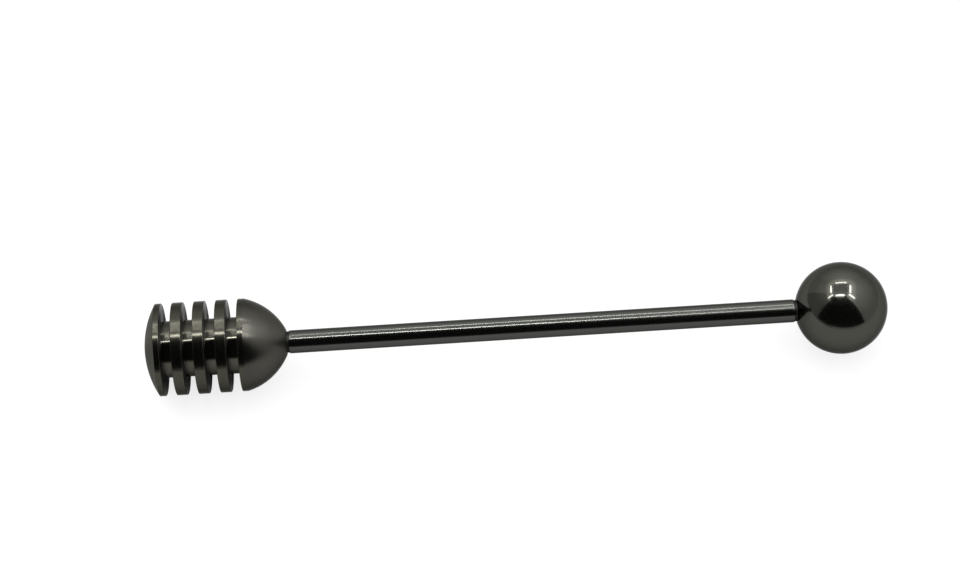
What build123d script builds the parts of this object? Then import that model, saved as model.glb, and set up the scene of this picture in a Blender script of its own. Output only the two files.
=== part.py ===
from build123d import *
from math import radians, sqrt, tan
import os

# A honey dipper turned from metal: a grooved head, a slim round handle rod and a ball end.
# It lies along X on its head and its ball, with the head towards -X. Z is up. Millimetres.
# The origin is on the surface that it lies on, below the middle of its length.

# Head
head_diameter = 20.0
cap_height = 2.75             # how far the domed front end bulges
cap_land = 1.25               # straight rim behind the bulge
groove_count = 4
groove_width = 2.4
disc_width = 2.3
core_diameter = 12.2          # across the groove floors
shoulder_land = 1.2           # straight rim at the wide end of the bell-shaped shoulder
shoulder_length = 10.0        # the whole shoulder, with its land
shoulder_curve_radius = 13.65
shoulder_tip_diameter = 5.4   # the flat ring that the rod's neck stands against
rim_break = 0.15              # chamfer on every square outer corner of the discs and lands

# Handle rod
rod_diameter = 5.0
rod_length = 109.5            # between its two shoulders, where it is full size
rod_end_round_length = 0.5    # along the rod
rod_end_round_depth = 0.1     # across it
neck_length = 0.5             # the narrower ring between the rod's shoulder and its neighbour
neck_diameter = 4.6
neck_clearance = 0.02         # between the neck and its neighbour
stub_diameter = 4.0
head_stub_depth = 12.0        # stub inside the head
ball_stub_depth = 9.0         # stub inside the ball
stub_lead_in = 0.4            # chamfer on the tip of each stub

# Ball end
ball_diameter = 20.0

# Bores for the stubs, in the head and in the ball
bore_clearance = 0.02         # on the radius, for a pressed and glued fit
bore_mouth_break = 0.15       # chamfer on the edge of each bore
drill_point_angle = 118.0     # the cone that a twist drill leaves

head_radius = head_diameter / 2
core_radius = core_diameter / 2
tip_radius = shoulder_tip_diameter / 2
rod_radius = rod_diameter / 2
neck_radius = neck_diameter / 2
stub_radius = stub_diameter / 2
ball_radius = ball_diameter / 2
bore_radius = stub_radius + bore_clearance
drill_point_length = bore_radius / tan(radians(drill_point_angle / 2))

# Places along X, counted from the front of the head
first_groove = cap_height + cap_land
shoulder_start = first_groove + groove_count * groove_width + (groove_count - 1) * disc_width
head_length = shoulder_start + shoulder_length
rod_start = head_length + neck_length
rod_end = rod_start + rod_length
ball_face = rod_end + neck_length
ball_centre = ball_face + sqrt(ball_radius**2 - (bore_radius + bore_mouth_break) ** 2)
overall_length = ball_centre + ball_radius


def arc_radius(sagitta, half_chord):
    """The radius of a round arc from its height over a chord and half of that chord."""
    return (sagitta**2 + half_chord**2) / (2 * sagitta)


def bore_outline(mouth, floor):
    """Half of a blind bore: a broken edge at its mouth, its wall and the cone of the drill."""
    inwards = 1 if floor > mouth else -1
    Polyline(
        (mouth, bore_radius + bore_mouth_break),
        (mouth + inwards * bore_mouth_break, bore_radius),
        (floor, bore_radius),
        (floor + inwards * drill_point_length, 0),
    )


def grooved_rim():
    """The stepped outline from the cap's land to the start of the shoulder, groove after groove."""
    points = [(cap_height, head_radius), (first_groove, head_radius)]
    x = first_groove
    for groove in range(groove_count):
        points += [(x, core_radius), (x + groove_width, core_radius), (x + groove_width, head_radius)]
        x += groove_width
        if groove < groove_count - 1:
            x += disc_width
            points.append((x, head_radius))
    points.append((shoulder_start + shoulder_land, head_radius))
    Polyline(*points)


def is_square_rim(corner):
    """Whether a corner of the head's outline is on a rim, but not where the land meets the shoulder's curve."""
    return abs(corner.Y - head_radius) < rim_break and corner.X < shoulder_start + shoulder_land / 2


def dipper_head():
    """One turned piece: domed cap, discs and grooves, bell-shaped shoulder and a bore for the stub."""
    tip = (head_length, tip_radius)
    bore_floor = head_length - head_stub_depth
    with BuildPart() as head:
        with BuildSketch() as section:
            with BuildLine():
                cap_radius = arc_radius(cap_height, head_radius)
                RadiusArc((0, 0), (cap_height, head_radius), cap_radius)
                grooved_rim()
                RadiusArc((shoulder_start + shoulder_land, head_radius), tip, shoulder_curve_radius)
                Line(tip, (head_length, bore_radius + bore_mouth_break))
                bore_outline(head_length, bore_floor)
                Line((bore_floor - drill_point_length, 0), (0, 0))
            make_face()
            chamfer(section.vertices().filter_by(is_square_rim), rim_break)
        revolve(axis=Axis.X)
    return head.part


def handle_rod():
    """The rod. Beyond each slightly rounded end are a short neck and the stub for the piece beside it."""
    shoulder_radius = rod_radius - rod_end_round_depth
    end_radius = arc_radius(rod_end_round_depth, rod_end_round_length)
    head_tip = head_length - head_stub_depth
    ball_tip = ball_face + ball_stub_depth
    with BuildPart() as rod:
        with BuildSketch():
            with BuildLine():
                Polyline(
                    (head_tip, 0),
                    (head_tip, stub_radius - stub_lead_in),
                    (head_tip + stub_lead_in, stub_radius),
                    (head_length + neck_clearance, stub_radius),
                    (head_length + neck_clearance, neck_radius),
                    (rod_start, neck_radius),
                    (rod_start, shoulder_radius),
                )
                RadiusArc(
                    (rod_start, shoulder_radius), (rod_start + rod_end_round_length, rod_radius), end_radius
                )
                Line((rod_start + rod_end_round_length, rod_radius), (rod_end - rod_end_round_length, rod_radius))
                RadiusArc((rod_end - rod_end_round_length, rod_radius), (rod_end, shoulder_radius), end_radius)
                Polyline(
                    (rod_end, shoulder_radius),
                    (rod_end, neck_radius),
                    (ball_face - neck_clearance, neck_radius),
                    (ball_face - neck_clearance, stub_radius),
                    (ball_tip - stub_lead_in, stub_radius),
                    (ball_tip, stub_radius - stub_lead_in),
                    (ball_tip, 0),
                    (head_tip, 0),
                )
            make_face()
        revolve(axis=Axis.X)
    return rod.part


def end_ball():
    """A solid ball with a blind bore that faces the rod."""
    bore_floor = ball_face + ball_stub_depth
    mouth = (ball_face, bore_radius + bore_mouth_break)
    far_pole = (ball_centre + ball_radius, 0)
    with BuildPart() as ball:
        with BuildSketch():
            with BuildLine():
                ThreePointArc(mouth, (ball_centre, ball_radius), far_pole)
                bore_outline(ball_face, bore_floor)
                Line((bore_floor + drill_point_length, 0), far_pole)
            make_face()
        revolve(axis=Axis.X)
    return ball.part


def save(part, name):
    """Moves a piece from its place along the turning axis to where the dipper lies, and writes it."""
    lying_height = max(head_radius, ball_radius, rod_radius)
    export_step(Pos(-overall_length / 2, 0, lying_height) * part, f"parts/{name}.step")


os.makedirs("parts", exist_ok=True)
save(dipper_head(), "dipper_head")
save(handle_rod(), "handle_rod")
save(end_ball(), "end_ball")
print(f"overall length {overall_length:.2f}, head {head_length:.2f}, ball centre at {ball_centre:.2f}")
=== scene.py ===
# %% [markdown]
# # A honey dipper in dark polished steel
#
# A honey dipper is a lathe-turned tool: a grooved head that holds honey as it is turned, a slim rod and a
# ball for the fingers. It has only three pieces, so its looks rest on three things: clean turned shapes,
# the right finish on each of them, and something worth mirroring around them. This lesson makes them in
# that order.
#
# The solids come first. They fix where each piece is, and the pieces that are made here stand in the same
# places, in metres, with X along the turning axis and Z up.

# %% Load the solids
import math

import bpy
from mathutils import Euler, Matrix, Vector


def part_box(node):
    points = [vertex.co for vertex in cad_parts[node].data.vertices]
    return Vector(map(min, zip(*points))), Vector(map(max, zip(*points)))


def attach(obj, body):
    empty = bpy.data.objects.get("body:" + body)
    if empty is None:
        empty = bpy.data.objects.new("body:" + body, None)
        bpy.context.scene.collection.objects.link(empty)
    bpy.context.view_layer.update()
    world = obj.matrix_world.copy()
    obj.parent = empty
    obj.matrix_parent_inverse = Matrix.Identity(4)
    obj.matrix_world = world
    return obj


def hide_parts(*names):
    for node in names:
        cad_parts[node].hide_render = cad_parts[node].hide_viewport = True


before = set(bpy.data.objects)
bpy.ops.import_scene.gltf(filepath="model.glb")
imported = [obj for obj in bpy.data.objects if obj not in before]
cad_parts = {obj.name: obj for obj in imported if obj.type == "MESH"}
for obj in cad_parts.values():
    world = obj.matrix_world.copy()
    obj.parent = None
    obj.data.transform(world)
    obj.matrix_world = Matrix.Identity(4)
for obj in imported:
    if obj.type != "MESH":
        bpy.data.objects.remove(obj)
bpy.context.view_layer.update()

# %% [markdown]
# ## Sizes
#
# Places come from the solids, so nothing has to be fitted by eye. The sizes of the features that the
# solids' boxes can't tell, such as the width of a groove, are written here once, in millimetres.

# %% Places from the solids, sizes by name
MM = 0.001

head_low, head_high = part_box("dipper_head")
rod_low, rod_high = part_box("handle_rod")
ball_low, ball_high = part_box("end_ball")

axis_height = (head_low.z + head_high.z) / 2 / MM
head_radius = (head_high.z - head_low.z) / 2 / MM
head_length = (head_high.x - head_low.x) / MM
rod_radius = (rod_high.y - rod_low.y) / 2 / MM
rod_whole_length = (rod_high.x - rod_low.x) / MM
ball_radius = 10.0
ball_length = (ball_high.x - ball_low.x) / MM

cap_height = 2.75             # the bulge of the head's front
groove_count = 4
groove_width = 2.4
disc_width = 2.3
core_radius = 6.1             # the groove floors
shoulder_start = 20.5         # from the head's front
shoulder_land = 1.2           # the straight rim before the shoulder's curve
shoulder_curve_radius = 13.65
shoulder_tip_radius = 2.7
first_groove = shoulder_start - groove_count * groove_width - (groove_count - 1) * disc_width

stub_radius = 2.0             # the rod's turned-down ends, inside the head and the ball
stub_lead_in = 0.4
head_stub_depth = 12.0
ball_stub_depth = 9.0
neck_length = 0.5             # the narrower ring beside each of the rod's shoulders
neck_radius = 2.3
neck_clearance = 0.02
rod_end_round_length = 0.5
rod_end_round_depth = 0.1
bore_radius = 2.02
bore_mouth_break = 0.15
drill_point_angle = 118       # degrees, the cone that a twist drill leaves
drill_point_length = bore_radius / math.tan(math.radians(drill_point_angle / 2))

print(f"head {head_length:.2f} mm long and {2 * head_radius:.2f} mm across,", end=" ")
print(f"first groove at {first_groove:.2f} mm")

# %% [markdown]
# ## A helper for nodes
#
# Geometry and materials are both built from nodes. One small function adds a node: it sets the node's own
# properties, types values into its sockets, and draws a link wherever a socket is given in place of a value.

# %% Add a node
def add_node(tree, kind, inputs=None, **settings):
    """Adds one node. inputs maps a socket's name or number to a value, or to the socket that feeds it."""
    node = tree.nodes.new(kind)
    for name, value in settings.items():
        setattr(node, name, value)
    for socket, value in (inputs or {}).items():
        if isinstance(value, bpy.types.NodeSocket):
            tree.links.new(value, node.inputs[socket])
        else:
            node.inputs[socket].default_value = value
    return node


def new_tree(name, inputs):
    """An empty geometry tree with named inputs, each with its kind of socket, and one geometry output."""
    tree = bpy.data.node_groups.new(name, "GeometryNodeTree")
    for label, kind in inputs.items():
        tree.interface.new_socket(label, in_out="INPUT", socket_type="NodeSocket" + kind)
    tree.interface.new_socket("Mesh", in_out="OUTPUT", socket_type="NodeSocketGeometry")
    return tree


print("helpers ready")

# %% [markdown]
# ## Turning an outline
#
# On a lathe the shape is an outline, and the machine turns it about an axis. The same is done here: half of
# a piece's section is drawn as a curve, and a tree carries it round a circle. A Spin in mesh code would give
# the same solid, but a tree keeps the sizes as inputs and can be used again for every turned piece.
#
# A cutting tool has a small round nose and leaves no dead-sharp corner. Each corner of an outline therefore
# carries its own round, in the curve point's radius, and Fillet Curve cuts it. Points along an arc carry a
# round of zero and are left alone. Real corners catch a thin line of light, and this is what makes it.

# %% The turning tree
weld_distance = 0.001 * MM
quarter_turn = math.pi / 2
turning_sizes = {"Rim Radius": "Float", "Segments": "Int", "Corner Steps": "Int", "Place": "Vector"}


def turning_tree():
    """Carries an outline, drawn with X along the axis and Z away from it, round a full circle."""
    tree = new_tree("Turn an outline", {"Outline": "Geometry", **turning_sizes})
    given = add_node(tree, "NodeGroupInput").outputs
    corner_round = add_node(tree, "GeometryNodeInputRadius").outputs[0]
    rounded = add_node(tree, "GeometryNodeFilletCurve", {
        "Curve": given["Outline"], "Count": given["Corner Steps"], "Radius": corner_round,
        "Limit Radius": True,
    }, mode="POLY")
    position = add_node(tree, "GeometryNodeInputPosition").outputs[0]
    point = add_node(tree, "ShaderNodeSeparateXYZ", {0: position}).outputs
    inset = add_node(tree, "ShaderNodeMath", {0: point["Z"], 1: given["Rim Radius"]}, operation="SUBTRACT")
    upright = add_node(tree, "ShaderNodeCombineXYZ", {"X": inset.outputs[0], "Y": point["X"]})
    profile = add_node(tree, "GeometryNodeSetPosition", {
        "Geometry": rounded.outputs["Curve"], "Position": upright.outputs[0],
    })
    circle = add_node(tree, "GeometryNodeCurvePrimitiveCircle", {
        "Resolution": given["Segments"], "Radius": given["Rim Radius"],
    })
    turned = add_node(tree, "GeometryNodeCurveToMesh", {
        "Curve": circle.outputs["Curve"], "Profile Curve": profile.outputs["Geometry"],
    })
    placed = add_node(tree, "GeometryNodeTransform", {
        "Geometry": turned.outputs["Mesh"], "Translation": given["Place"], "Rotation": (0, -quarter_turn, 0),
    })
    welded = add_node(tree, "GeometryNodeMergeByDistance", {
        "Geometry": placed.outputs[0], "Distance": weld_distance,
    })
    smooth = add_node(tree, "GeometryNodeSetShadeSmooth", {"Geometry": welded.outputs[0]})
    add_node(tree, "NodeGroupOutput", {0: smooth.outputs[0]})
    return tree


turn = turning_tree()


def turned_mesh(tree, given, outline):
    """Puts the turning tree into another tree, fed with that tree's own inputs, and realizes its mesh."""
    sizes = {size: given[size] for size in turning_sizes}
    turned = add_node(tree, "GeometryNodeGroup", {"Outline": outline, **sizes}, node_tree=turn)
    return add_node(tree, "GeometryNodeRealizeInstances", {0: turned.outputs[0]}).outputs[0]


def place_on_piece(tree, given):
    """Where a face is, counted from the start of the piece's own axis."""
    position = add_node(tree, "GeometryNodeInputPosition").outputs[0]
    return add_node(tree, "ShaderNodeVectorMath", {
        0: position, 1: given["Place"],
    }, operation="SUBTRACT").outputs[0]


print(turn.name, "has", len(turn.nodes), "nodes")

# %% [markdown]
# ## Outlines
#
# An outline is a short list of points: how far along the axis, how far from it, and how round the corner is.
# Round stretches are worked out from their radius, like the arc that a designer would draw, and not typed
# point by point. Each arc here bulges away from the axis.

# %% Draw arcs and outlines
def arc(start, end, radius, steps):
    """The points between start and end on a round arc that bulges away from the axis."""
    start, end = Vector(start), Vector(end)
    chord = end - start
    inwards = Vector((chord.y, -chord.x)).normalized()
    centre = (start + end) / 2 + inwards * math.sqrt(radius**2 - chord.length_squared / 4)
    first, last = (math.atan2(p.y - centre.y, p.x - centre.x) for p in (start, end))
    sweep = (first - last) % math.tau
    angles = [first - sweep * step / steps for step in range(1, steps)]
    return [(centre.x + radius * math.cos(a), centre.y + radius * math.sin(a), 0) for a in angles]


def arc_radius(sagitta, half_chord):
    """The radius of a round arc from its height over a chord and half of that chord."""
    return (sagitta**2 + half_chord**2) / (2 * sagitta)


def draw_outline(name, *stretches):
    """A curve object with one open line for each list of points, given in millimetres."""
    curve = bpy.data.curves.new(name, "CURVE")
    curve.dimensions = "3D"
    for stretch in stretches:
        spline = curve.splines.new("POLY")
        spline.points.add(len(stretch) - 1)
        for point, (along, away, corner_round) in zip(spline.points, stretch):
            point.co = (along * MM, 0, away * MM, 1)
            point.radius = corner_round * MM
    outline = bpy.data.objects.new(name, curve)
    bpy.context.scene.collection.objects.link(outline)
    print(name, "has", sum(len(s) for s in stretches), "points")
    return outline


# %% [markdown]
# ## The grooved head
#
# The head is one piece of bar: a domed cap, four grooves with three discs between them, and a bell-shaped
# shoulder that leads to the rod. The grooves repeat, so one groove is drawn, from the middle of one disc to
# the middle of the next, and instanced at its pitch. The cap and the shoulder don't repeat, so they are
# drawn as outlines of their own, and everything is turned together and welded.
#
# The tree also says which faces get which finish. The rims and the groove floors run straight along the
# axis, and a sharp tool leaves them bright. The shoulder's curve comes out satin, and the flat disc sides,
# cut straight across the axis, come out coarser. A face's own direction tells them apart: on a straight
# stretch it is square to the axis, on a flat side it lies along it. The cap is told by its place, in front of
# the first rim, and gets a finish of its own.

# %% The head's tree
groove_points = 6


def groove_outline(tree, given):
    """One groove as a line of six points, from the middle of a disc's rim to the middle of the next."""
    disc, groove = given["Disc Width"], given["Groove Width"]
    half_disc = add_node(tree, "ShaderNodeMath", {0: disc, 1: 2}, operation="DIVIDE").outputs[0]
    far_wall = add_node(tree, "ShaderNodeMath", {0: half_disc, 1: groove}, operation="ADD").outputs[0]
    pitch = add_node(tree, "ShaderNodeMath", {0: far_wall, 1: half_disc}, operation="ADD").outputs[0]
    rim, core = given["Rim Radius"], given["Core Radius"]
    rim_round, floor_round = given["Rim Round"], given["Floor Round"]
    columns = []
    for values in (
        (0.0, half_disc, half_disc, far_wall, far_wall, pitch),
        (rim, rim, core, core, rim, rim),
        (0.0, rim_round, floor_round, floor_round, rim_round, 0.0),
    ):
        switch = add_node(tree, "GeometryNodeIndexSwitch", data_type="FLOAT")
        while len(switch.index_switch_items) < groove_points:
            switch.index_switch_items.new()
        tree.links.new(add_node(tree, "GeometryNodeInputIndex").outputs[0], switch.inputs[0])
        for socket, value in zip(list(switch.inputs)[1:], values):
            if isinstance(value, bpy.types.NodeSocket):
                tree.links.new(value, socket)
            else:
                socket.default_value = value
        columns.append(switch.outputs[0])
    along, away, corner_round = columns
    line = add_node(tree, "GeometryNodeMeshLine", {"Count": groove_points})
    place = add_node(tree, "ShaderNodeCombineXYZ", {"X": along, "Z": away})
    shaped = add_node(tree, "GeometryNodeSetPosition", {
        "Geometry": line.outputs[0], "Position": place.outputs[0],
    })
    curve = add_node(tree, "GeometryNodeMeshToCurve", {0: shaped.outputs[0]})
    rounded = add_node(tree, "GeometryNodeSetCurveRadius", {
        "Curve": curve.outputs[0], "Radius": corner_round,
    })
    return rounded.outputs[0], half_disc, pitch


def head_tree():
    """Repeats the groove's outline, joins it with the cap's and the shoulder's, and turns them."""
    tree = new_tree("Grooved head", {
        "Ends": "Geometry", **turning_sizes, "Groove Count": "Int", "Groove Width": "Float",
        "Disc Width": "Float", "First Groove": "Float", "Core Radius": "Float", "Rim Round": "Float",
        "Floor Round": "Float", "Straight Cut": "Material", "Curved Cut": "Material",
        "Side Cut": "Material", "Cap Cut": "Material", "Curved Slope": "Float", "Side Slope": "Float",
        "Cap Height": "Float",
    })
    given = add_node(tree, "NodeGroupInput").outputs
    groove, half_disc, pitch = groove_outline(tree, given)
    start = add_node(tree, "ShaderNodeMath", {0: given["First Groove"], 1: half_disc}, operation="SUBTRACT")
    first = add_node(tree, "ShaderNodeCombineXYZ", {"X": start.outputs[0]})
    step = add_node(tree, "ShaderNodeCombineXYZ", {"X": pitch})
    row = add_node(tree, "GeometryNodeMeshLine", {
        "Count": given["Groove Count"], "Start Location": first.outputs[0], "Offset": step.outputs[0],
    })
    grooves = add_node(tree, "GeometryNodeInstanceOnPoints", {"Points": row.outputs[0], "Instance": groove})
    realized = add_node(tree, "GeometryNodeRealizeInstances", {0: grooves.outputs[0]})
    joined = add_node(tree, "GeometryNodeJoinGeometry", {0: realized.outputs[0]})
    tree.links.new(given["Ends"], joined.inputs[0])
    normal = add_node(tree, "GeometryNodeInputNormal").outputs[0]
    lean = add_node(tree, "ShaderNodeSeparateXYZ", {0: normal}).outputs["X"]
    slope = add_node(tree, "ShaderNodeMath", {0: lean}, operation="ABSOLUTE").outputs[0]
    along = add_node(tree, "ShaderNodeSeparateXYZ", {0: place_on_piece(tree, given)}).outputs["X"]
    mesh = add_node(tree, "GeometryNodeSetMaterial", {
        "Geometry": turned_mesh(tree, given, joined.outputs[0]), "Material": given["Straight Cut"],
    }).outputs[0]
    for finish, larger, smaller in (
        ("Curved Cut", slope, given["Curved Slope"]),
        ("Side Cut", slope, given["Side Slope"]),
        ("Cap Cut", given["Cap Height"], along),
    ):
        chosen = add_node(tree, "FunctionNodeCompare", {
            0: larger, 1: smaller,
        }, data_type="FLOAT", operation="GREATER_THAN")
        mesh = add_node(tree, "GeometryNodeSetMaterial", {
            "Geometry": mesh, "Selection": chosen.outputs[0], "Material": given[finish],
        }).outputs[0]
    add_node(tree, "NodeGroupOutput", {0: mesh})
    return tree


grooved_head = head_tree()
print(grooved_head.name, "has", len(grooved_head.nodes), "nodes")

# %% [markdown]
# ## Plain turned pieces
#
# The rod and the ball need no repeats, only an outline, the turning tree and a finish. Beside the rod's
# shoulders are narrower rings that no buffing wheel reaches, so the tree gives whatever lies closer to the
# axis than a named radius a second finish: dull, and darker as painted shade.

# %% The plain tree
def plain_tree():
    """Turns its outline. What is closer to the axis than the neck radius gets a finish of its own."""
    tree = new_tree("Plain turned piece", {
        "Outline": "Geometry", **turning_sizes, "Finish": "Material", "Neck Radius": "Float",
        "Shaded Neck Finish": "Material",
    })
    given = add_node(tree, "NodeGroupInput").outputs
    across_axis = add_node(tree, "ShaderNodeVectorMath", {
        0: place_on_piece(tree, given), 1: (0, 1, 1),
    }, operation="MULTIPLY").outputs[0]
    away = add_node(tree, "ShaderNodeVectorMath", {0: across_axis}, operation="LENGTH").outputs["Value"]
    neck = add_node(tree, "FunctionNodeCompare", {
        0: away, 1: given["Neck Radius"],
    }, data_type="FLOAT", operation="LESS_THAN")
    finished = add_node(tree, "GeometryNodeSetMaterial", {
        "Geometry": turned_mesh(tree, given, given["Outline"]), "Material": given["Finish"],
    })
    dulled = add_node(tree, "GeometryNodeSetMaterial", {
        "Geometry": finished.outputs[0], "Selection": neck.outputs[0], "Material": given["Shaded Neck Finish"],
    })
    add_node(tree, "NodeGroupOutput", {0: dulled.outputs[0]})
    return tree


plain_turned = plain_tree()
print(plain_turned.name, "has", len(plain_turned.nodes), "nodes")

# %% [markdown]
# ## Colours
#
# Colours are picked as sRGB hex values, which is how they look on a screen. Shaders work with linear light,
# so one function turns the one into the other.

# %% Hex to linear
def linear(hex_colour, alpha=1.0):
    """The linear colour of an sRGB hex value such as 4A4A45."""
    channels = [int(hex_colour[i:i + 2], 16) / 255 for i in (0, 2, 4)]
    return (*[c / 12.92 if c <= 0.04045 else ((c + 0.055) / 1.055) ** 2.4 for c in channels], alpha)


print("dark steel in linear light:", [round(c, 4) for c in linear("4A4A45")])

# %% [markdown]
# ## Polished steel
#
# The ball is dark polished stainless steel, finished with buffing wheels until it mirrors. That gives a
# crisp mirror with a faint haze: the buff leaves marks some hundredths of a millimetre wide, so the roughness
# wanders a little from place to place. A photograph can't give the metal's colour directly, only what it
# does to its surroundings, so the base colour is matched where it mirrors a white floor. A metal keeps the
# default IOR, and its edge tint is lowered, because a dark steel doesn't turn white at its edges.

# %% Polished steel for the ball
def millimetre_scale(size):
    """The scale of a texture whose features are size millimetres apart, on an object in metres."""
    return 1 / (size * MM)


def centred_on_axis(tree):
    """Object coordinates with the turning axis on X itself."""
    coordinates = add_node(tree, "ShaderNodeTexCoord").outputs["Object"]
    return add_node(tree, "ShaderNodeMapping", {
        "Vector": coordinates, "Location": (0, 0, -axis_height * MM),
    }).outputs[0]


edge_tint = "B9B9B9"
noise_low, noise_high = 0.3, 0.7          # a noise hardly leaves this range


def steel(name, colour, anisotropy=0.0):
    """A material with one metal shader. Its roughness and normal are left for the finish to add."""
    material = bpy.data.materials.new(name)
    material.use_nodes = True
    tree = material.node_tree
    tree.nodes.clear()
    metal = add_node(tree, "ShaderNodeBsdfPrincipled", {
        "Base Color": linear(colour), "Metallic": 1.0, "Specular Tint": linear(edge_tint),
        "Anisotropic": anisotropy,
    })
    add_node(tree, "ShaderNodeOutputMaterial", {"Surface": metal.outputs[0]})
    return material, tree, metal


buff_mark, buff_detail = 0.03, 3.0
mark_start, mark_full = 0.52, 0.70        # of the noise, so that only its upper part is a mark
clean_haze, mark_haze = 0.09, 0.35


def polished_steel():
    """Buffed steel: a mirror whose haze varies with the marks of the wheel."""
    material, tree, metal = steel("polished stainless steel, buffed", "4A4A45")
    marks = add_node(tree, "ShaderNodeTexNoise", {
        "Vector": centred_on_axis(tree), "Scale": millimetre_scale(buff_mark), "Detail": buff_detail,
    })
    haze = add_node(tree, "ShaderNodeMapRange", {
        "Value": marks.outputs[0], "From Min": mark_start, "From Max": mark_full,
        "To Min": clean_haze, "To Max": mark_haze,
    })
    tree.links.new(haze.outputs[0], metal.inputs["Roughness"])
    return material


ball_finish = polished_steel()
print("made", ball_finish.name)

# %% [markdown]
# ## Rod
#
# The rod is drawn stock, centreless ground and buffed. Grinding leaves it round to a hundredth of a
# millimetre but never perfectly straight in a mirror: its reflections wander slowly along the length. A
# very shallow bump, stretched along the rod, makes the light lines swim in the same way, and the same waves
# vary its haze. Grinding marks run round the rod, so its light spreads along it and stays narrow across it:
# in the shader that is anisotropy. The rod's metal is a little cooler than the ball's.

# %% Polished steel for the rod
wave_length = 22.0            # along the rod
wave_width = 3 * rod_radius
wave_height = 0.003
wave_detail = 1.0
least_rod_haze, most_rod_haze = 0.185, 0.215
rod_direction = 0.8           # how strongly its light keeps to one direction
across_rings = 0.25           # a quarter of a turn, as the shader counts it
neck_roughness = 0.5


def spread_along_x(tree, metal):
    """Lays the shader's spread across rings that run round the axis."""
    tangent = add_node(tree, "ShaderNodeTangent", direction_type="RADIAL", axis="X")
    tree.links.new(tangent.outputs[0], metal.inputs["Tangent"])
    metal.inputs["Anisotropic Rotation"].default_value = across_rings


def drawn_steel():
    """Drawn and buffed steel, with long shallow waves along X."""
    material, tree, metal = steel("drawn stainless rod, ground and buffed", "4A4B48", rod_direction)
    stretched = add_node(tree, "ShaderNodeMapping", {
        "Vector": centred_on_axis(tree), "Scale": (1 / wave_length, 1 / wave_width, 1 / wave_width),
    })
    waves = add_node(tree, "ShaderNodeTexNoise", {
        "Vector": stretched.outputs[0], "Scale": 1 / MM, "Detail": wave_detail,
    })
    bump = add_node(tree, "ShaderNodeBump", {
        "Height": waves.outputs[0], "Distance": wave_height * MM,
    })
    haze = add_node(tree, "ShaderNodeMapRange", {
        "Value": waves.outputs[0], "From Min": noise_low, "From Max": noise_high,
        "To Min": least_rod_haze, "To Max": most_rod_haze,
    })
    tree.links.new(haze.outputs[0], metal.inputs["Roughness"])
    tree.links.new(bump.outputs[0], metal.inputs["Normal"])
    spread_along_x(tree, metal)
    return material


def shaded_neck_steel():
    """The turned-down ends: dull from the lathe, and darker as painted shade."""
    # The darker colour is painted shade in the narrow neck between the parts.
    material, _, metal = steel("stainless steel, left from the lathe, painted shade", "2B2B29")
    metal.inputs["Roughness"].default_value = neck_roughness
    return material


rod_finish, shaded_neck_finish = drawn_steel(), shaded_neck_steel()
print("made", rod_finish.name, "and", shaded_neck_finish.name)

# %% [markdown]
# ## Turned steel
#
# A turned surface is covered in fine rings round the axis. Light spreads across such rings and hardly along
# them, so every highlight is drawn out along the outline and stays sharp round the piece: that is why the
# shoulder shows level bands of light and dark. The Tangent node runs round the axis, and a quarter of a turn
# lays the shader's spread across the rings.
#
# The rings themselves follow from two numbers, how far along the axis and how far from it. A noise that
# reads only those two is the same all round, on the flat sides and on the curved shoulder alike.
#
# The head wears four such finishes: a bright one on its rims and groove floors, a satin one on the shoulder,
# a coarser one on the parted disc sides and a brushed one on the cap. A lathe's tool cuts slowly near the
# axis and fast at the rim, so in each of them the roughness changes on the way out. In the first three the
# colour also darkens on the way out, which is painted shade. What is the same all over, such as how
# strongly the light keeps to one direction, is set on the shader's own socket.

# %% Four finishes of turned steel
ring_spacing = 0.3            # real tool marks are near 0.05 mm, too fine to show here
ring_height = 0.0002
ring_detail = 2.0
least_uneven, most_uneven = 0.92, 1.08    # what the rings do to the roughness
inner_radius = 8.0            # from here inwards a piece has its core finish all over


def turned_steel(name, direction, core, rim):
    """Lathe-turned steel with rings round the axis. core and rim are each a colour and a roughness; a darker
    rim colour is painted shade.
    """
    (core_colour, core_roughness), (rim_colour, rim_roughness) = core, rim
    material, tree, metal = steel(name, core_colour, direction)
    point = add_node(tree, "ShaderNodeSeparateXYZ", {0: centred_on_axis(tree)})
    flat = add_node(tree, "ShaderNodeCombineXYZ", {"Y": point.outputs["Y"], "Z": point.outputs["Z"]})
    away = add_node(tree, "ShaderNodeVectorMath", {0: flat.outputs[0]}, operation="LENGTH")
    section = add_node(tree, "ShaderNodeCombineXYZ", {"X": point.outputs["X"], "Y": away.outputs["Value"]})
    rings = add_node(tree, "ShaderNodeTexNoise", {
        "Vector": section.outputs[0], "Scale": millimetre_scale(ring_spacing), "Detail": ring_detail,
    })
    outwards = add_node(tree, "ShaderNodeMapRange", {
        "Value": away.outputs["Value"], "From Min": inner_radius * MM, "From Max": head_radius * MM,
    }).outputs[0]
    middle = add_node(tree, "ShaderNodeMapRange", {
        "Value": outwards, "To Min": core_roughness, "To Max": rim_roughness,
    })
    uneven = add_node(tree, "ShaderNodeMapRange", {
        "Value": rings.outputs[0], "From Min": noise_low, "From Max": noise_high,
        "To Min": least_uneven, "To Max": most_uneven,
    })
    roughness = add_node(tree, "ShaderNodeMath", {
        0: middle.outputs[0], 1: uneven.outputs[0],
    }, operation="MULTIPLY")
    bump = add_node(tree, "ShaderNodeBump", {"Height": rings.outputs[0], "Distance": ring_height * MM})
    tree.links.new(roughness.outputs[0], metal.inputs["Roughness"])
    tree.links.new(bump.outputs[0], metal.inputs["Normal"])
    # A rim colour darker than the core colour fades in towards the rim: painted shade.
    if rim_colour != core_colour:
        colour = add_node(tree, "ShaderNodeMix", {
            "Factor": outwards, "A": linear(core_colour), "B": linear(rim_colour),
        }, data_type="RGBA")
        tree.links.new(colour.outputs["Result"], metal.inputs["Base Color"])
    spread_along_x(tree, metal)
    return material


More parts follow.
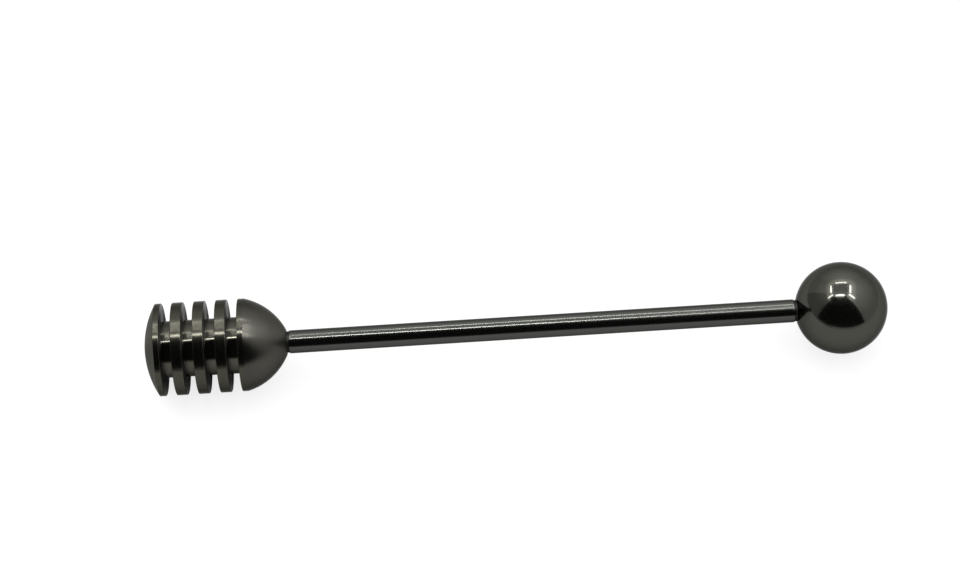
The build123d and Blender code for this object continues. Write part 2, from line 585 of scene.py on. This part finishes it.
# The rim colours below, darker than the core colours, are painted shade.
# Rims and groove floors: a sharp tool leaves a mirror whose lights are drawn out along the axis.
bright_finish = turned_steel(
    "stainless steel, bright turned", direction=0.98, core=("4B4A43", 0.165), rim=("44433C", 0.22),
)
# Shoulder: fine steps across the curve turn the room into soft bands of light and dark.
satin_finish = turned_steel(
    "stainless steel, satin turned", direction=0.75, core=("4B4A45", 0.32), rim=("43423E", 0.24),
)
# Disc sides: the parting tool tears a little, so they stay dull near the core and gleam near the rim.
side_finish = turned_steel(
    "stainless steel, parted off", direction=0.92, core=("4A4944", 0.46), rim=("474640", 0.28),
)
# Cap: facing and a brush leave a sheen, softest in the middle; its colour, the same all over, is made paler
# as a painted sheen.
cap_finish = turned_steel(
    "stainless steel, faced and brushed, painted paler", direction=0.75, core=("5A5953", 0.50), rim=("5A5953", 0.36),
)
print("made", ", ".join(made.name for made in (bright_finish, satin_finish, side_finish, cap_finish)))

# %% [markdown]
# ## Making the pieces
#
# A modifier's inputs are set by the sockets' identifiers, which don't change when a label does. The tree's
# result is then turned into a plain mesh, and the curve and its modifier are thrown away.
#
# On a mirror the normals matter more than the faces. Beside a tiny round, an averaged normal tilts and the
# flat next to it looks dished. Weighted Normal lets the large face win, so flats stay flat. It takes faces
# as small as these for nothing, so the piece is enlarged for it. A power of two changes no digit on the way
# back.

# %% Turn an outline into a piece
enlarged = 1024
large_face_wins = 100         # the modifier's weight, from 1 to 100


def set_inputs(modifier, values):
    """Sets a tree's named inputs on its modifier."""
    for item in modifier.node_group.interface.items_tree:
        if item.item_type == "SOCKET" and item.in_out == "INPUT" and item.name in values:
            modifier[item.identifier] = values[item.name]


def evaluated_mesh(source):
    """A plain mesh of what an object's modifiers make."""
    graph = bpy.context.evaluated_depsgraph_get()
    return bpy.data.meshes.new_from_object(source.evaluated_get(graph), depsgraph=graph)


def make_piece(name, outline, tree, values):
    """Turns the outline with the tree and keeps the result as a finished piece at the origin."""
    turning = outline.modifiers.new("Turning", "NODES")
    turning.node_group = tree
    set_inputs(turning, values)
    piece = bpy.data.objects.new(name, evaluated_mesh(outline))
    bpy.context.scene.collection.objects.link(piece)
    outline.modifiers.remove(turning)
    bpy.data.objects.remove(outline)
    weighting = piece.modifiers.new("Flats stay flat", "WEIGHTED_NORMAL")
    weighting.weight = large_face_wins
    piece.data.transform(Matrix.Scale(enlarged, 4))
    smooth = evaluated_mesh(piece)
    smooth.transform(Matrix.Scale(1 / enlarged, 4))
    piece.modifiers.remove(weighting)
    piece.data = smooth
    piece.data.name = name
    print(name, "has", len(piece.data.polygons), "faces")
    return piece


# %% [markdown]
# ## The head's ends
#
# The cap is a shallow dome. Behind it a short straight rim runs to the middle of what would be the first
# disc, where the first groove's outline takes over. The shoulder starts in the same way, curves down to a
# flat ring round the rod's neck, and ends in the drilled bore that holds the rod's stub.

# %% Turn the head
rim_round = 0.15
floor_round = 0.10
cap_steps, shoulder_steps = 48, 48
head_segments = 256
corner_steps = 5
curved_slope = 0.2            # between a straight rim, at 0, and the start of the shoulder's curve, at 0.27
side_slope = 0.96             # between the end of that curve and a flat side, at 1

front_takeover = first_groove - disc_width / 2
back_takeover = shoulder_start + disc_width / 2
curve_start = (shoulder_start + shoulder_land, head_radius)
curve_end = (head_length, shoulder_tip_radius)
bore_floor = head_length - head_stub_depth

cap_outline = [
    (0, 0, 0),
    *arc((0, 0), (cap_height, head_radius), arc_radius(cap_height, head_radius), cap_steps),
    (cap_height, head_radius, rim_round),
    (front_takeover, head_radius, 0),
]
shoulder_outline = [
    (back_takeover, head_radius, 0),
    (*curve_start, rim_round),
    *arc(curve_start, curve_end, shoulder_curve_radius, shoulder_steps),
    (*curve_end, rim_round),
    (head_length, bore_radius + bore_mouth_break, 0),
    (head_length - bore_mouth_break, bore_radius, 0),
    (bore_floor, bore_radius, 0),
    (bore_floor - drill_point_length, 0, 0),
]
head = make_piece("head", draw_outline("head outline", cap_outline, shoulder_outline), grooved_head, {
    "Rim Radius": head_radius * MM,
    "Core Radius": core_radius * MM,
    "Groove Count": groove_count,
    "Groove Width": groove_width * MM,
    "Disc Width": disc_width * MM,
    "First Groove": first_groove * MM,
    "Rim Round": rim_round * MM,
    "Floor Round": floor_round * MM,
    "Segments": head_segments,
    "Corner Steps": corner_steps,
    "Place": (head_low.x, 0, axis_height * MM),
    "Straight Cut": bright_finish,
    "Curved Cut": satin_finish,
    "Side Cut": side_finish,
    "Cap Cut": cap_finish,
    "Curved Slope": curved_slope,
    "Side Slope": side_slope,
    "Cap Height": cap_height * MM,
})

# %% [markdown]
# ## The rod and the ball
#
# The rod's ends are barely rounded before they step down to a neck half a millimetre long, which shows as a
# dark ring, and from there to the stub. The ball is an arc of nearly half a circle, flat only where its bore
# opens.

# %% Turn the rod
head_shoulder = head_stub_depth + neck_length
ball_shoulder = rod_whole_length - ball_stub_depth - neck_length
head_face = head_stub_depth + neck_clearance
ball_face = rod_whole_length - ball_stub_depth - neck_clearance
rod_end_radius = rod_radius - rod_end_round_depth
end_curve_radius = arc_radius(rod_end_round_depth, rod_end_round_length)
full_start = (head_shoulder + rod_end_round_length, rod_radius)
full_end = (ball_shoulder - rod_end_round_length, rod_radius)
rod_rim_round = 0.04
rod_end_steps = 8
rod_segments = 192

rod_outline = [
    (0, 0, 0),
    (0, stub_radius - stub_lead_in, 0),
    (stub_lead_in, stub_radius, 0),
    (head_face, stub_radius, 0),
    (head_face, neck_radius, 0),
    (head_shoulder, neck_radius, 0),
    (head_shoulder, rod_end_radius, rod_rim_round),
    *arc((head_shoulder, rod_end_radius), full_start, end_curve_radius, rod_end_steps),
    (*full_start, 0),
    (*full_end, 0),
    *arc(full_end, (ball_shoulder, rod_end_radius), end_curve_radius, rod_end_steps),
    (ball_shoulder, rod_end_radius, rod_rim_round),
    (ball_shoulder, neck_radius, 0),
    (ball_face, neck_radius, 0),
    (ball_face, stub_radius, 0),
    (rod_whole_length - stub_lead_in, stub_radius, 0),
    (rod_whole_length, stub_radius - stub_lead_in, 0),
    (rod_whole_length, 0, 0),
]
rod = make_piece("rod", draw_outline("rod outline", rod_outline), plain_turned, {
    "Rim Radius": rod_radius * MM,
    "Segments": rod_segments,
    "Corner Steps": corner_steps,
    "Place": (rod_low.x, 0, axis_height * MM),
    "Finish": rod_finish,
    # Inside the neck radius the rod wears the darker neck finish: painted shade.
    "Neck Radius": (neck_radius + rod_end_radius) / 2 * MM,
    "Shaded Neck Finish": shaded_neck_finish,
})

# %% Turn the ball
ball_steps = 160
ball_segments = 256

ball_mouth = (0, bore_radius + bore_mouth_break)
ball_pole = (ball_length, 0)
ball_outline = [
    (ball_stub_depth + drill_point_length, 0, 0),
    (ball_stub_depth, bore_radius, 0),
    (bore_mouth_break, bore_radius, 0),
    (*ball_mouth, 0),
    *arc(ball_mouth, ball_pole, ball_radius, ball_steps),
    (*ball_pole, 0),
]
ball = make_piece("ball", draw_outline("ball outline", ball_outline), plain_turned, {
    "Rim Radius": ball_radius * MM,
    "Segments": ball_segments,
    "Corner Steps": corner_steps,
    "Place": (ball_low.x, 0, axis_height * MM),
    "Finish": ball_finish,
})

# %% [markdown]
# ## Floor, lamp and sky
#
# The floor is plain white paper. To the camera it is greyer, which leaves room for the dipper's soft shadow,
# and a plain glow brings the rest of it up to white. Metal and glass mirror the paper itself, which is white
# in this light and needs no glow. The sky is white to all of them, so the object stands on white from any
# side. The lamp is one very wide sun, the even light of a large softbox far away, and mirrors don't show it:
# what they show comes next.

# %% Floor, lamp and sky
seen_paper, mirrored_paper = "9C9C9C", "F5F5F5"
seen_glow, mirrored_glow = 0.76, 0.0      # none in mirrors, where the lit paper is white already
sky_level, sky_white = 1.0, 1.0           # for the object's light, and for the camera and mirrors
lamp_strength, lamp_spread = 0.4, 70      # the spread in degrees
lamp_tilt = (-25, -15, 0)                 # degrees
floor_half_size = 3.0


def stage_material(name):
    """An empty material for what is around the object. A large glowing card needs no lamp sampling."""
    material = bpy.data.materials.new(name)
    material.use_nodes = True
    material.node_tree.nodes.clear()
    material.cycles.emission_sampling = "NONE"
    return material, material.node_tree


def ray_kinds(tree):
    """Two sockets: 1 for the camera's own rays, and 1 for the rays of mirrors and glass."""
    path = add_node(tree, "ShaderNodeLightPath").outputs
    mirrored = add_node(tree, "ShaderNodeMath", {
        0: path["Is Glossy Ray"], 1: path["Is Transmission Ray"],
    }, operation="MAXIMUM")
    return path["Is Camera Ray"], mirrored.outputs[0]


def paper_floor():
    """White paper that keeps the shadow."""
    material, tree = stage_material("white paper")
    seen, mirrored = ray_kinds(tree)
    colour = add_node(tree, "ShaderNodeMix", {
        "Factor": seen, "A": linear(mirrored_paper), "B": linear(seen_paper),
    }, data_type="RGBA")
    paper = add_node(tree, "ShaderNodeBsdfDiffuse", {"Color": colour.outputs["Result"]})
    in_mirrors = add_node(tree, "ShaderNodeMath", {0: mirrored, 1: mirrored_glow}, operation="MULTIPLY")
    glow = add_node(tree, "ShaderNodeMath", {
        0: seen, 1: seen_glow, 2: in_mirrors.outputs[0],
    }, operation="MULTIPLY_ADD")
    light = add_node(tree, "ShaderNodeEmission", {"Strength": glow.outputs[0]})
    both = add_node(tree, "ShaderNodeAddShader", {0: paper.outputs[0], 1: light.outputs[0]})
    add_node(tree, "ShaderNodeOutputMaterial", {"Surface": both.outputs[0]})
    return material


def white_sky():
    """A plain sky: white to the camera and to mirrors, and an even level of light on the rest."""
    world = bpy.data.worlds.new("white sky")
    world.use_nodes = True
    tree = world.node_tree
    tree.nodes.clear()
    seen, mirrored = ray_kinds(tree)
    either = add_node(tree, "ShaderNodeMath", {0: seen, 1: mirrored}, operation="MAXIMUM")
    strength = add_node(tree, "ShaderNodeMapRange", {
        "Value": either.outputs[0], "To Min": sky_level, "To Max": sky_white,
    })
    sky = add_node(tree, "ShaderNodeBackground", {
        "Color": linear("FFFFFF"), "Strength": strength.outputs[0],
    })
    add_node(tree, "ShaderNodeOutputWorld", {"Surface": sky.outputs[0]})
    return world


def stage_card(name, corners, material, mirrored_only=True):
    """A flat card through its corners. A mirrored card is seen in the metal and nowhere else."""
    mesh = bpy.data.meshes.new(name)
    mesh.from_pydata(corners, [], [range(len(corners))])
    mesh.materials.append(material)
    card = bpy.data.objects.new(name, mesh)
    bpy.context.scene.collection.objects.link(card)
    if mirrored_only:
        card.visible_camera = card.visible_diffuse = card.visible_shadow = False
        card.visible_transmission = card.visible_volume_scatter = False


square = [(-1, -1), (1, -1), (1, 1), (-1, 1)]
floor_corners = [(x * floor_half_size, y * floor_half_size, 0) for x, y in square]
stage_card("floor", floor_corners, paper_floor(), mirrored_only=False)
bpy.context.scene.world = white_sky()

lamp_data = bpy.data.lights.new("softbox", "SUN")
lamp_data.energy = lamp_strength
lamp_data.angle = math.radians(lamp_spread)
lamp = bpy.data.objects.new("softbox", lamp_data)
lamp.rotation_euler = Euler([math.radians(angle) for angle in lamp_tilt])
lamp.visible_glossy = False
bpy.context.scene.collection.objects.link(lamp)
print("floor, lamp and sky ready")

# %% [markdown]
# ## The light tent
#
# Polished metal has no look of its own: it shows the room. The dipper stands in a small light tent, a box of
# white cloth. The tent is made of cards that only mirror rays see, so they neither hide the object nor add
# light to it. The cloth is not equally bright all over: each wall has a level of its own and a glow that
# fades away from the lamps, as the mirrored walls in the photograph do.

# %% Put up the tent
tent_turn = math.radians(-8)
tent_centre = (0.0165, 0.14)
tent_half_width, tent_half_depth, tent_height = 0.39, 0.33, 0.59
left_dim_foot, left_dim_top = 0.09, -0.10     # where the left wall's dim part ends
glow_middle, glow_reach = (0.07, 0.0, 0.59), 0.62


def in_tent(x, y, z):
    """A place in the tent, measured from the middle of its floor and turned with it."""
    turned = Matrix.Rotation(tent_turn, 3, "Z") @ Vector((x, y, z))
    return turned + Vector((*tent_centre, 0))


def cloth(name, level, glow):
    """White cloth at one level, with a glow near the lamps."""
    material, tree = stage_material(name)
    from_glow = add_node(tree, "ShaderNodeMapping", {
        "Vector": add_node(tree, "ShaderNodeTexCoord").outputs["Object"],
        "Location": -in_tent(*glow_middle) / glow_reach,
        "Scale": (1 / glow_reach,) * 3,
    })
    falloff = add_node(tree, "ShaderNodeTexGradient", {0: from_glow.outputs[0]}, gradient_type="SPHERICAL")
    strength = add_node(tree, "ShaderNodeMath", {
        0: falloff.outputs["Fac"], 1: glow, 2: level,
    }, operation="MULTIPLY_ADD")
    light = add_node(tree, "ShaderNodeEmission", {"Strength": strength.outputs[0]})
    add_node(tree, "ShaderNodeOutputMaterial", {"Surface": light.outputs[0]})
    return material


def plain_light(name, strength):
    """Plain white light of one strength."""
    material, tree = stage_material(name)
    light = add_node(tree, "ShaderNodeEmission", {"Strength": strength})
    add_node(tree, "ShaderNodeOutputMaterial", {"Surface": light.outputs[0]})
    return material


def tent_card(name, corners, material):
    """A card with its corners given in the tent."""
    stage_card(name, [in_tent(*corner) for corner in corners], material)


w, d, h = tent_half_width, tent_half_depth, tent_height
foot, top = left_dim_foot, left_dim_top
for name, corners, level, glow in (
    ("tent left front", [(-w, -d, 0), (-w, foot, 0), (-w, top, h), (-w, -d, h)], 0.43, 1.2),
    ("tent left back", [(-w, foot, 0), (-w, d, 0), (-w, d, h), (-w, top, h)], 0.74, 1.8),
    ("tent right", [(w, -d, 0), (w, d, 0), (w, d, h), (w, -d, h)], 0.76, 1.9),
    ("tent back", [(-w, d, 0), (w, d, 0), (w, d, h), (-w, d, h)], 0.74, 1.9),
    ("tent roof", [(-w, -d, h), (w, -d, h), (w, d, h), (-w, d, h)], 0.9, 3.0),
    ("tent front left", [(-w, -d, 0), (0, -d, 0), (0, -d, h), (-w, -d, h)], 0.36, 1.6),
    ("tent front right", [(0, -d, 0), (w, -d, 0), (w, -d, h), (0, -d, h)], 0.72, 2.4),
):
    tent_card(name, corners, cloth(name, level, glow))
print("tent ready")

# %% [markdown]
# ## Opening and lights
#
# The tent is open at the front, and a ring of four light bars hangs under its roof, with one more at each
# front corner. The opening is what gives the metal its deep black, and the bars give the thin lines of light.
# They too are cards, a little way in front of the cloth.

# %% Open the front and hang the lights
gap = 0.005                   # between the cloth and what lies in front of it
room_level, panel_level = 0.032, 0.88
opening = [(-0.24, 0.02), (0.33, 0.02), (0.305, 0.3), (0.28, h), (-0.275, h), (-0.285, 0.33)]
roof_opening = [
    (-0.285, -d), (0.28, -d), (0.178, -0.258), (0.13, -0.195), (-0.11, -0.195), (-0.276, -0.247),
]
panel = [(-0.21, -0.17), (0.21, -0.17), (0.21, 0.15), (-0.21, 0.15)]

bright_level, medium_level, soft_level = 40, 32, 26
ring_half_width, side_bar_length = 0.232, 0.225
corner_bar_length = 0.18
bar_width, slim_bar_width = 0.030, 0.0225
bar_drop = 0.01


def light_bar(name, middle, direction, length, width, material):
    """A strip of light under the roof."""
    along = Vector(direction).normalized() * length / 2
    beside = Vector((-along.y, along.x)).normalized() * width / 2
    flat = [Vector(middle) + along * a + beside * b for a, b in square]
    tent_card(name, [(p.x, p.y, h - bar_drop) for p in flat], material)


dark = plain_light("dark room", room_level)
tent_card("open front", [(x, gap - d, z) for x, z in opening], dark)
tent_card("open roof", [(x, y, h - gap) for x, y in roof_opening], dark)
tent_card("roof panel", [(x, y, h - gap) for x, y in panel], plain_light("roof panel", panel_level))

bright, medium, soft = (
    plain_light("light bar", strength) for strength in (bright_level, medium_level, soft_level)
)
# Small and strong, unlike the other cards, so these are sampled as lamps.
for light in (bright, medium, soft):
    light.cycles.emission_sampling = "AUTO"
light_bar("front bar", (-0.01, -0.198), (1, 0), 0.205, bar_width, bright)
light_bar("back bar", (0.018, 0.172), (1, 0), 0.26, bar_width, soft)
light_bar("left bar", (-ring_half_width, 0.005), (0, 1), side_bar_length, bar_width, medium)
light_bar("right bar", (ring_half_width, -0.01), (0, 1), side_bar_length, bar_width, medium)
light_bar("left corner bar", (-0.27, -0.203), (-0.17, -0.072), corner_bar_length, slim_bar_width, medium)
light_bar("right corner bar", (0.285, -0.203), (0.16, -0.078), corner_bar_length, bar_width, medium)
print("lights hung")

# %% [markdown]
# ## Camera
#
# The photograph looks down on the dipper from the front, with a long lens, so that the rod hardly narrows.
# Place and angle were worked out from the dipper's outline: the two ends differ in size by the distance, and
# the ovals of the disc rims give the angles.

# %% Camera
camera_place = Vector((-20.24, -301.33, 410.85)) * MM
turn_right, look_down, roll = (math.radians(a) for a in (2.349, 52.054, -1.663))
lens_length, sensor_width = 87.0, 36.0        # millimetres

camera_data = bpy.data.cameras.new("camera")
camera_data.lens = lens_length
camera_data.sensor_width = sensor_width
camera = bpy.data.objects.new("camera", camera_data)
aim = Euler((quarter_turn - look_down, 0, -turn_right)).to_matrix() @ Matrix.Rotation(roll, 3, "Z")
camera.matrix_world = Matrix.Translation(camera_place) @ aim.to_4x4()
bpy.context.scene.collection.objects.link(camera)
bpy.context.scene.camera = camera
bpy.context.scene.view_settings.view_transform = "Standard"
print("camera at", [round(c, 3) for c in camera.location])

# %% [markdown]
# ## The pieces and the solids
#
# Each piece is fixed to the one body that the solids have and stands for its solid, which is hidden.

# %% Tie the pieces to the solids
for piece, node, finish in (
    (head, "dipper_head", "turned_steel"),
    (rod, "handle_rod", "polished_steel"),
    (ball, "end_ball", "polished_steel"),
):
    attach(piece, "root")
    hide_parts(node)
